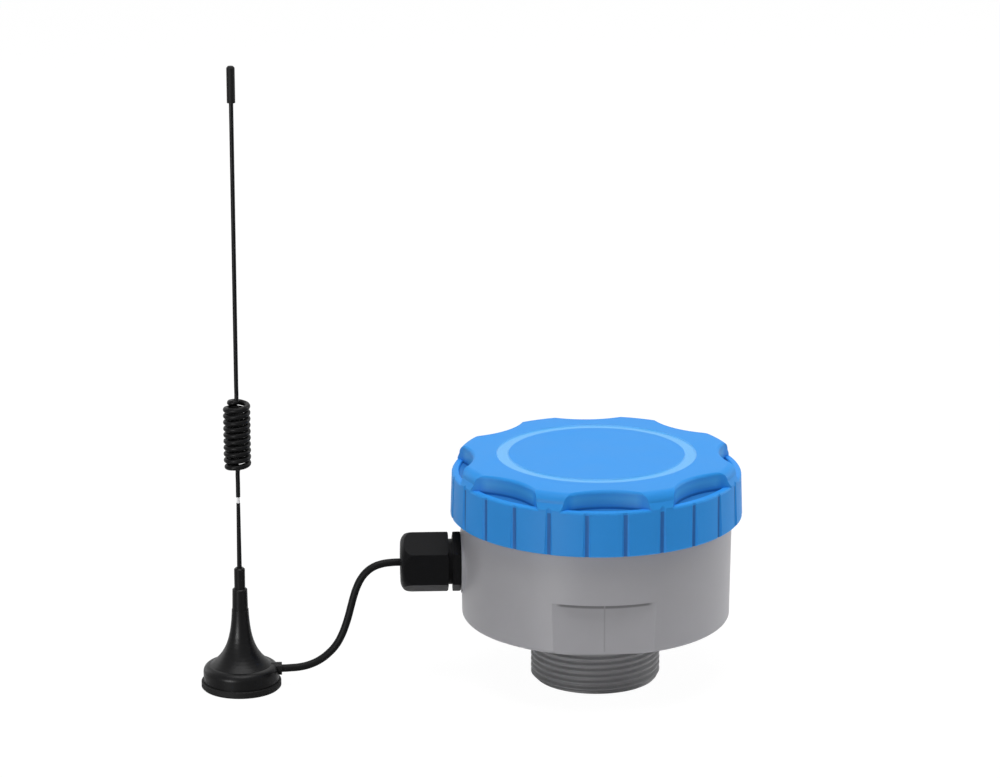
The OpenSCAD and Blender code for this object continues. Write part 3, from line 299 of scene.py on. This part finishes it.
lead_jacket = moulded("lead_jacket", (0.004, 0.004, 0.0045), 0.50, grain=1200.0, relief=0.08,
    specular=0.10)
antenna_lead = sweep("antenna_lead", [(Vector(place) * MM, 1.0) for place in lead_route],
    lead_diameter / 2, 6, 6, lead_jacket)
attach(antenna_lead, "transmitter")
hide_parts("antenna_cable")


# ---- Housing ----
# A round pot moulded in satin grey plastic, with a neck for the screw lid, two pairs of spanner
# facets and four pillars inside for the main board. Painted shadow darkens the facets under the
# ledge, more where the ledge is deep, and painted shade darkens the line between two facets.

wall_r = 49.9 * MM
facet_inner_r = 46.0 * MM
facet_outer_r = 48.9 * MM
facet_foot_z = 25.0 * MM
facet_top_z = 43.4 * MM
facet_fade = 0.25 * MM
ledge_slope = 0.40
# How far the painted shadow under the ledge reaches, and how wide the painted shade line is.
shadow_drop_below_ledge = 0.75 * MM
ledge_reach = 3.0 * MM
ledge_fade = 0.05 * MM
line_half_width = 0.20 * MM
line_fade = 0.20 * MM


def distance_from_axis(tree, place):
    """Distance from the Z axis in object coordinates."""
    flat = tree.nodes.new("ShaderNodeVectorMath")
    flat.operation = "MULTIPLY"
    flat.inputs[1].default_value = (1.0, 1.0, 0.0)
    radius = tree.nodes.new("ShaderNodeVectorMath")
    radius.operation = "LENGTH"
    tree.links.new(place.outputs["Object"], flat.inputs[0])
    tree.links.new(flat.outputs["Vector"], radius.inputs[0])
    return radius.outputs["Value"]


def moulded_places(material):
    """A moulded material's node tree and skin, and the radius, X and height on the object."""
    tree = material.node_tree
    skin = next(node for node in tree.nodes if node.type == "GROUP")
    place = next(node for node in tree.nodes if node.type == "TEX_COORD")
    apart = tree.nodes.new("ShaderNodeSeparateXYZ")
    tree.links.new(place.outputs["Object"], apart.inputs["Vector"])
    return tree, skin, distance_from_axis(tree, place), apart.outputs["X"], apart.outputs["Z"]


def between(tree, value, low, high, soft):
    """A mask that is 1 between two values and fades over a short way."""
    edges = []
    for none, full in ((low - soft, low + soft), (high + soft, high - soft)):
        edge = tree.nodes.new("ShaderNodeMapRange")
        edge.inputs["From Min"].default_value = none
        edge.inputs["From Max"].default_value = full
        tree.links.new(value, edge.inputs["Value"])
        edges.append(edge.outputs["Result"])
    return calculate(tree, "MULTIPLY", *edges)


def tint(tree, colour, mask, other):
    """Blends another colour in by a mask."""
    mix = tree.nodes.new("ShaderNodeMix")
    mix.data_type = "RGBA"
    mix.inputs["B"].default_value = (*other, 1.0)
    tree.links.new(mask, mix.inputs["Factor"])
    tree.links.new(colour, mix.inputs["A"])
    return mix.outputs["Result"]


def make_housing_material():
    """Grey moulding with painted shadow under the facets' ledge and painted shade where they
    meet.
    """
    material = moulded("housing_grey", (0.425, 0.420, 0.444), 0.38, shade=0.05, drift=0.10,
        grain=3200.0, relief=0.10, specular=0.45)
    tree, skin, out, across, up = moulded_places(material)
    facets = between(tree, out, facet_inner_r, facet_outer_r, facet_fade)
    # Painted shadow under the ledge: a strip on the facets that reaches lower where the ledge is
    # deep.
    lean = calculate(tree, "MULTIPLY_ADD", out, -ledge_slope, up)
    under_ledge = facet_top_z - ledge_slope * wall_r
    painted_ledge_shadow = calculate(tree, "MULTIPLY", facets, between(tree, lean, under_ledge - shadow_drop_below_ledge,
        under_ledge + ledge_reach, facet_fade))
    painted_ledge_shadow = calculate(tree, "MULTIPLY", painted_ledge_shadow,
        between(tree, up, facet_foot_z, facet_top_z, ledge_fade))
    # Painted shade along the line where two facets meet.
    line = calculate(tree, "MULTIPLY", facets,
        between(tree, across, -line_half_width, line_half_width, line_fade))
    line = calculate(tree, "MULTIPLY", line,
        between(tree, up, facet_foot_z, facet_top_z, line_fade))
    # The two darker greys are painted shadow under the ledge and painted shade on the middle
    # line.
    colour = tint(tree, skin.outputs["Colour"], painted_ledge_shadow, (0.200, 0.198, 0.208))
    colour = tint(tree, colour, line, (0.330, 0.327, 0.345))
    tree.links.new(colour, tree.nodes["Principled BSDF"].inputs["Base Color"])
    return material


dress(make_housing_material(), "housing")


# ---- Process spigot ----
# One moulded part in darker grey. The solid carries the bore, the flange and the screw holes. Its
# plain outside is swapped here for a true pipe thread with round crests and roots, which fades
# in at the free end and fades out at the groove under the housing.

spigot_grey = moulded("spigot_grey", (0.368, 0.367, 0.376), 0.56, shade=0.06, grain=2600.0,
    relief=0.12)
thread_pitch = 2.309 * MM
crest_r = 23.9 * MM
root_r = 22.42 * MM
crest_height = 2.6 * MM
thread_top = 21.5 * MM
groove_r = 22.3 * MM
mouth_r = 22.4 * MM
lead_in = 1.5 * MM
run_out = 2.2 * MM
turns_below = 4
steps_per_turn = 96
points_per_pitch = 10
join_gap = 0.01 * MM
skin_slack = 0.05 * MM
triangle_weld = 0.001 * MM
turn_weld = 0.005 * MM
sharp_angle = math.radians(35)


def bmesh_of_solid(node):
    """A copy of a CAD solid's mesh with its loose triangles joined."""
    mesh = bmesh.new()
    mesh.from_mesh(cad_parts[node].data)
    bmesh.ops.remove_doubles(mesh, verts=mesh.verts, dist=triangle_weld)
    return mesh


def thread_limit(z):
    """Largest radius that the thread may have at a height."""
    opening = mouth_r + (crest_r - mouth_r) * max(z, 0.0) / lead_in
    closing = groove_r + (crest_r - groove_r) * max(thread_top - z, 0.0) / run_out
    return min(crest_r, opening, closing)


thread = bmesh.new()
first_z = crest_height - turns_below * thread_pitch
profile = []
for i in range(points_per_pitch + 1):
    wave = 0.5 + 0.5 * math.cos(2 * math.pi * i / points_per_pitch)
    swell = wave * wave * (3 - 2 * wave)
    height = first_z + thread_pitch * i / points_per_pitch
    corner = thread.verts.new((root_r + (crest_r - root_r) * swell, 0.0, height))
    if profile:
        profile.append(thread.edges.new((profile[-1], corner)))
    profile.append(corner)
bmesh.ops.spin(thread, geom=profile, cent=(0, 0, 0), axis=(0, 0, 1), angle=2 * math.pi,
    steps=steps_per_turn, dvec=(0, 0, thread_pitch / steps_per_turn), use_merge=False)
one_turn = thread.verts[:] + thread.edges[:] + thread.faces[:]
for turn in range(1, turns_below + 1 + math.ceil(thread_top / thread_pitch)):
    copy = bmesh.ops.duplicate(thread, geom=one_turn)["geom"]
    moved = [item for item in copy if isinstance(item, bmesh.types.BMVert)]
    bmesh.ops.translate(thread, verts=moved, vec=(0, 0, turn * thread_pitch))
bmesh.ops.remove_doubles(thread, verts=thread.verts, dist=turn_weld)
for corner in thread.verts:
    radius = corner.co.xy.length
    shrink = min(1.0, thread_limit(corner.co.z) / radius)
    corner.co.x *= shrink
    corner.co.y *= shrink
for level, way in ((join_gap, -1), (thread_top - join_gap, 1)):
    bmesh.ops.bisect_plane(thread, geom=thread.verts[:] + thread.edges[:] + thread.faces[:],
        dist=1e-9, plane_co=(0, 0, level), plane_no=(0, 0, way), clear_outer=True)
thread_data = bpy.data.meshes.new("thread")
thread.to_mesh(thread_data)
thread.free()

spigot = bmesh_of_solid("process_spigot")
plain_skin = [face for face in spigot.faces
    if max(corner.co.xy.length for corner in face.verts) > groove_r + skin_slack
    and min(corner.co.xy.length for corner in face.verts) > groove_r - skin_slack
    and max(corner.co.z for corner in face.verts) < thread_top + join_gap]
bmesh.ops.delete(spigot, geom=plain_skin, context="FACES")
spigot.from_mesh(thread_data)
bpy.data.meshes.remove(thread_data)
for level in (0.0, thread_top):
    rims = [edge for edge in spigot.edges if edge.is_boundary
        and all(abs(corner.co.z - level) < 3 * join_gap for corner in edge.verts)]
    bmesh.ops.bridge_loops(spigot, edges=rims)
bmesh.ops.recalc_face_normals(spigot, faces=spigot.faces)
spigot_data = bpy.data.meshes.new("threaded_spigot")
spigot.to_mesh(spigot_data)
spigot.free()
spigot_data.shade_smooth()
spigot_data.set_sharp_from_angle(angle=sharp_angle)
spigot_data.materials.append(spigot_grey)
threaded_spigot = bpy.data.objects.new("threaded_spigot", spigot_data)
scene.collection.objects.link(threaded_spigot)
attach(threaded_spigot, "transmitter")
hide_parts("process_spigot")


# ---- Seals ----
# Black nitrile O-rings: under the lid, under the spigot flange and round the lens.

seal_rubber = moulded("seal_rubber", (0.007, 0.007, 0.0075), 0.42, drift=0.12, grain=1800.0,
    relief=0.10, specular=0.25)
dress(seal_rubber, "lid_seal", "spigot_seal", "lens_seal")


# ---- Lens and horn ----
# The flush lens is turned from white fluoropolymer and the horn behind it from aluminium, so both
# carry fine rings round their axis.

worked_relief_depth = 0.1 * MM


def make_worked_group():
    """Fine tool lines and uneven gloss on machined, drawn or stamped metal."""
    group, given, put_out = surface_group("worked_surface", (0.6, 0.6, 0.6),
        {"Roughness": 0.3, "Lines": 3000.0, "Depth": 0.15})
    lines = group.nodes.new("ShaderNodeTexNoise")
    lines.inputs["Detail"].default_value = 5.0
    lines.inputs["Roughness"].default_value = 0.7
    group.links.new(given.outputs["Vector"], lines.inputs["Vector"])
    group.links.new(given.outputs["Lines"], lines.inputs["Scale"])
    drift_surface(group, given, put_out, lines.outputs["Fac"], given.outputs["Depth"],
        given.outputs["Depth"], lines.outputs["Fac"])
    return group


worked_surface = make_worked_group()


def worked(name, colour, roughness, metallic=1.0, lines=3000.0, depth=0.15, stretch=(1, 1, 1),
        turned=False, relief=0.05):
    """A machined or drawn surface; turned ones have their lines in rings round the Z axis."""
    material, shader = surface_material(name, colour, roughness, metallic=metallic)
    tree = material.node_tree
    place = tree.nodes.new("ShaderNodeTexCoord")
    spread = tree.nodes.new("ShaderNodeMapping")
    spread.inputs["Scale"].default_value = stretch
    where = distance_from_axis(tree, place) if turned else place.outputs["Object"]
    tree.links.new(where, spread.inputs["Vector"])
    numbers = {"Roughness": roughness, "Lines": lines, "Depth": depth}
    lay_skin(material, shader, worked_surface, spread.outputs["Vector"], colour, numbers, relief,
        worked_relief_depth)
    return material


dress(worked("lens_ptfe", (0.80, 0.80, 0.77), 0.38, metallic=0.0, lines=4000.0, depth=0.05,
    turned=True), "lens")
dress(worked("horn_aluminium", (0.66, 0.67, 0.68), 0.28, lines=5000.0, turned=True,
    relief=0.10), "horn")


# ---- Screws and stamped steel ----
# Zinc-plated pan-head screws, the ground magnet in the antenna's foot, the bright splice between
# the two halves of the whip, and the tinned shields of the radar and the modem.

screw_steel = worked("screw_steel", (0.58, 0.58, 0.56), 0.30, lines=2500.0, depth=0.20)
dress(screw_steel, "spigot_screws", "radar_screws", "tray_screws")
dress(worked("magnet_steel", (0.42, 0.42, 0.43), 0.35, lines=3000.0), "antenna_magnet")
dress(worked("splice_steel", (0.72, 0.72, 0.73), 0.18, lines=6000.0, stretch=(1, 1, 0.05)),
    "whip_splice")
shield_tin = worked("shield_tin", (0.62, 0.62, 0.61), 0.34, lines=1500.0, depth=0.25,
    stretch=(0.08, 1, 1))
dress(shield_tin, "radar_shield", "modem")


# ---- Circuit boards ----
# Green solder mask over copper tracks, with rows of tinned pads. The tracks are a fine brick
# pattern, and the pads are a regular grid that shows only in patches.

pad_size = 0.27
patch_level = 0.58


def make_board_material():
    """Solder mask with tracks and pads."""
    material, shader = surface_material("board_green", (0.02, 0.16, 0.07), 0.32)
    tree = material.node_tree
    place = tree.nodes.new("ShaderNodeTexCoord")
    tracks = tree.nodes.new("ShaderNodeTexBrick")
    tracks.inputs["Scale"].default_value = 140.0
    tracks.inputs["Mortar Size"].default_value = 0.045
    tracks.inputs["Color1"].default_value = (0.014, 0.125, 0.055, 1.0)
    tracks.inputs["Color2"].default_value = (0.018, 0.145, 0.065, 1.0)
    tracks.inputs["Mortar"].default_value = (0.035, 0.230, 0.110, 1.0)
    grid = tree.nodes.new("ShaderNodeTexVoronoi")
    grid.inputs["Scale"].default_value = 420.0
    grid.inputs["Randomness"].default_value = 0.0
    patches = tree.nodes.new("ShaderNodeTexNoise")
    patches.inputs["Scale"].default_value = 90.0
    for pattern in (tracks, grid, patches):
        tree.links.new(place.outputs["Object"], pattern.inputs["Vector"])
    pad = calculate(tree, "MULTIPLY",
        calculate(tree, "LESS_THAN", grid.outputs["Distance"], pad_size),
        calculate(tree, "GREATER_THAN", patches.outputs["Fac"], patch_level))
    bump = tree.nodes.new("ShaderNodeBump")
    bump.inputs["Strength"].default_value = 0.3
    bump.inputs["Distance"].default_value = worked_relief_depth
    tree.links.new(tracks.outputs["Fac"], bump.inputs["Height"])
    tree.links.new(bump.outputs["Normal"], shader.inputs["Normal"])
    colour = tint(tree, tracks.outputs["Color"], pad, (0.62, 0.60, 0.55))
    tree.links.new(colour, shader.inputs["Base Color"])
    tree.links.new(pad, shader.inputs["Metallic"])
    return material


dress(make_board_material(), "radar_board", "main_board")


# ---- Parts on the boards ----
# The radar chip, the link between the boards, the pulse capacitor in its sleeve, the sockets and
# plugs, the switches with their keys, brass spacers and a clear status light.

chip_black = moulded("chip_black", (0.016, 0.016, 0.017), 0.55, grain=5000.0, relief=0.15)
dress(chip_black, "radar_sensor", "board_link", "reset_switch", "power_slider")
dress(moulded("sleeve_blue", (0.020, 0.035, 0.190), 0.28, shade=0.10), "pulse_capacitor")
dress(moulded("connector_ivory", (0.72, 0.68, 0.56), 0.45), "power_socket", "power_plug")
dress(moulded("button_red", (0.45, 0.012, 0.010), 0.35), "reset_button")
dress(worked("contact_brass", (0.78, 0.56, 0.24), 0.22, lines=4000.0), "board_spacers",
    "antenna_socket", "antenna_plug")
dress(worked("switch_shell", (0.48, 0.49, 0.50), 0.33, lines=2000.0, stretch=(0.1, 1, 1)),
    "power_switch")
light_clear, light_shader = surface_material("light_clear", (0.62, 0.80, 0.62), 0.08)
light_shader.inputs["Transmission Weight"].default_value = 0.7
light_shader.inputs["IOR"].default_value = 1.5
dress(light_clear, "status_light")
dress(lead_jacket, "antenna_lead_inner")


# ---- Battery ----
# Two lithium cells in shrink sleeve lie in a black tray. Nickel tabs join them, and a red and a
# black lead run to the plug.

cell_end = 24.2 * MM
plug_middle_y = 4.0 * MM


def split_colour(material, shader, colour, axis, level, other_colour):
    """Gives a surface another colour past a level along one axis, and returns the mask."""
    tree = material.node_tree
    place = tree.nodes.new("ShaderNodeTexCoord")
    along = tree.nodes.new("ShaderNodeSeparateXYZ")
    tree.links.new(place.outputs["Object"], along.inputs["Vector"])
    past = calculate(tree, "GREATER_THAN", along.outputs[axis], level)
    pick = tree.nodes.new("ShaderNodeMix")
    pick.data_type = "RGBA"
    pick.inputs["A"].default_value = (*colour, 1.0)
    pick.inputs["B"].default_value = (*other_colour, 1.0)
    tree.links.new(past, pick.inputs["Factor"])
    tree.links.new(pick.outputs["Result"], shader.inputs["Base Color"])
    return past


wire_black = (0.010, 0.010, 0.011)
lead_wire, lead_shader = surface_material("lead_wire", wire_black, 0.40)
split_colour(lead_wire, lead_shader, wire_black, "Y", plug_middle_y, (0.48, 0.012, 0.010))
dress(lead_wire, "battery_leads")
wrap_green = (0.10, 0.30, 0.17)
cell_wrap, wrap_shader = surface_material("cell_wrap", wrap_green, 0.30)
steel_end = split_colour(cell_wrap, wrap_shader, wrap_green, "X", cell_end, (0.60, 0.60, 0.59))
cell_wrap.node_tree.links.new(steel_end, wrap_shader.inputs["Metallic"])
dress(cell_wrap, "battery_cell_left", "battery_cell_right")
dress(moulded("tray_black", (0.014, 0.014, 0.015), 0.5), "battery_tray")
dress(worked("tab_nickel", (0.66, 0.64, 0.60), 0.25, lines=2500.0, stretch=(1, 0.1, 1)),
    "cell_tabs")


# ---- Screw lid ----
# Moulded in blue with eight lobes. A polished ring band lies round the top face, painted lighter
# as sheen. Painted shade darkens the grip grooves and the floors of the eight hand recesses, and
# painted light makes the recess walls above the floors pale.

band_polish = 0.22
# The band's colour is painted sheen, the grooves' and floors' colours are painted shade, and the
# walls' colour is painted light.
# Each zone: radius from, to and fade, height from, to and fade, all in mm, and its colour.
lid_zones = {
    "band": (32.3, 36.6, 0.15, 84.6, 86.6, 0.10, (0.130, 0.500, 0.980)),
    "grooves": (49.0, 52.86, 0.08, 60.0, 78.3, 0.20, (0.035, 0.170, 0.500)),
    "recess walls": (40.0, 49.6, 0.80, 79.3, 83.6, 1.20, (0.080, 0.450, 0.920)),
    "recess floors": (40.0, 50.4, 0.20, 70.0, 79.3, 0.30, (0.030, 0.200, 0.540)),
}


def make_lid_material():
    """Blue moulding with a glossy band, and painted sheen, shade and light set out by radius and
    height.
    """
    material = moulded("lid_blue", (0.036, 0.328, 0.870), 0.45, shade=0.05, drift=0.10,
        grain=3200.0, relief=0.08, specular=0.10)
    tree, skin, out, _, up = moulded_places(material)
    shader = tree.nodes["Principled BSDF"]
    colour = skin.outputs["Colour"]
    masks = {}
    for zone, (near, far, fade, low, high, rise, painted_tone) in lid_zones.items():
        masks[zone] = calculate(tree, "MULTIPLY",
            between(tree, out, near * MM, far * MM, fade * MM),
            between(tree, up, low * MM, high * MM, rise * MM))
        # The zones' tints paint the band's sheen, the hollows' shade and the walls' light.
        colour = tint(tree, colour, masks[zone], painted_tone)
    tree.links.new(colour, shader.inputs["Base Color"])
    polished = calculate(tree, "MULTIPLY_ADD", masks["band"], -band_polish,
        skin.outputs["Roughness"])
    tree.links.new(polished, shader.inputs["Roughness"])
    return material


dress(make_lid_material(), "lid")


# ---- Cable gland ----
# A black nylon gland: a hexagon flange and a dome nut with a round nose, which grip the lead
# through a rubber bush.

gland_black = moulded("gland_black", (0.006, 0.006, 0.0066), 0.40, drift=0.14, grain=2200.0,
    relief=0.10, specular=0.05)
dress(gland_black, "gland_body", "gland_nut", "gland_locknut")
dress(seal_rubber, "gland_washer", "gland_bush")


# ---- Antenna ----
# A magnetic foot in black plastic over a rubber pad, a collar and a ferrule that grip the whip,
# and the whip itself: a lower rod, a bright splice, and one black-coated wire that is wound into
# an open coil and ends in a rubber cap.

foot_rubber = moulded("foot_rubber", (0.005, 0.005, 0.005), 0.60, grain=1500.0, relief=0.15,
    specular=0.15)
dress(foot_rubber, "antenna_foot", "whip_cap")
antenna_black = moulded("antenna_black", (0.005, 0.005, 0.0055), 0.34, drift=0.14, grain=2600.0,
    relief=0.08, specular=0.12)
dress(antenna_black, "antenna_shell", "whip_collar", "whip_ferrule")
whip_black = moulded("whip_black", (0.004, 0.004, 0.0045), 0.38, drift=0.12, grain=900.0,
    relief=0.08, specular=0.10)
dress(whip_black, "whip_rod")

antenna_axis = Vector((-131.2, -7.6, 0.0)) * MM
coil_foot_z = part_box("whip_coil")[0][2]
coil_head_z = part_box("whip_coil")[1][2]
wire_r = 0.8 * MM
coil_wire_r = 1.05 * MM
coil_r = 5.0 * MM
coil_pitch = 2.38 * MM
coil_turns = 10.5
tail_length = 11.0 * MM
neck_length = 1.2 * MM
straight_length = 6.0 * MM
points_per_turn = 16
first_angle = math.radians(60)
swing_start = 0.15


def ease(x):
    """A smooth step from 0 to 1."""
    x = max(0.0, min(1.0, x))
    return x * x * (3 - 2 * x)


def on_axis(z):
    """A point of the whip's straight wire at a height."""
    return antenna_axis + Vector((0.0, 0.0, z)), wire_r


first_turn_z = coil_foot_z + tail_length
coil_top_z = first_turn_z + coil_pitch * coil_turns
whip_line = [on_axis(coil_foot_z), on_axis(coil_foot_z + tail_length / 2),
    on_axis(first_turn_z - neck_length)]
for i in range(int(coil_turns * points_per_turn) + 1):
    turn = i / points_per_turn
    swing = min(ease(2 * turn + swing_start), ease(2 * (coil_turns - turn) + swing_start))
    radius = (coil_r - coil_wire_r) * swing
    angle = 2 * math.pi * turn + first_angle
    place = Vector((radius * math.cos(angle), radius * math.sin(angle),
        first_turn_z + coil_pitch * turn))
    whip_line.append((antenna_axis + place, coil_wire_r))
whip_line += [on_axis(coil_top_z + neck_length), on_axis(coil_top_z + straight_length),
    on_axis((coil_top_z + coil_head_z) / 2), on_axis(coil_head_z)]
whip_wire = sweep("whip_wire", whip_line, 1.0, 4, 3, whip_black)
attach(whip_wire, "transmitter")
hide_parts("whip_coil")
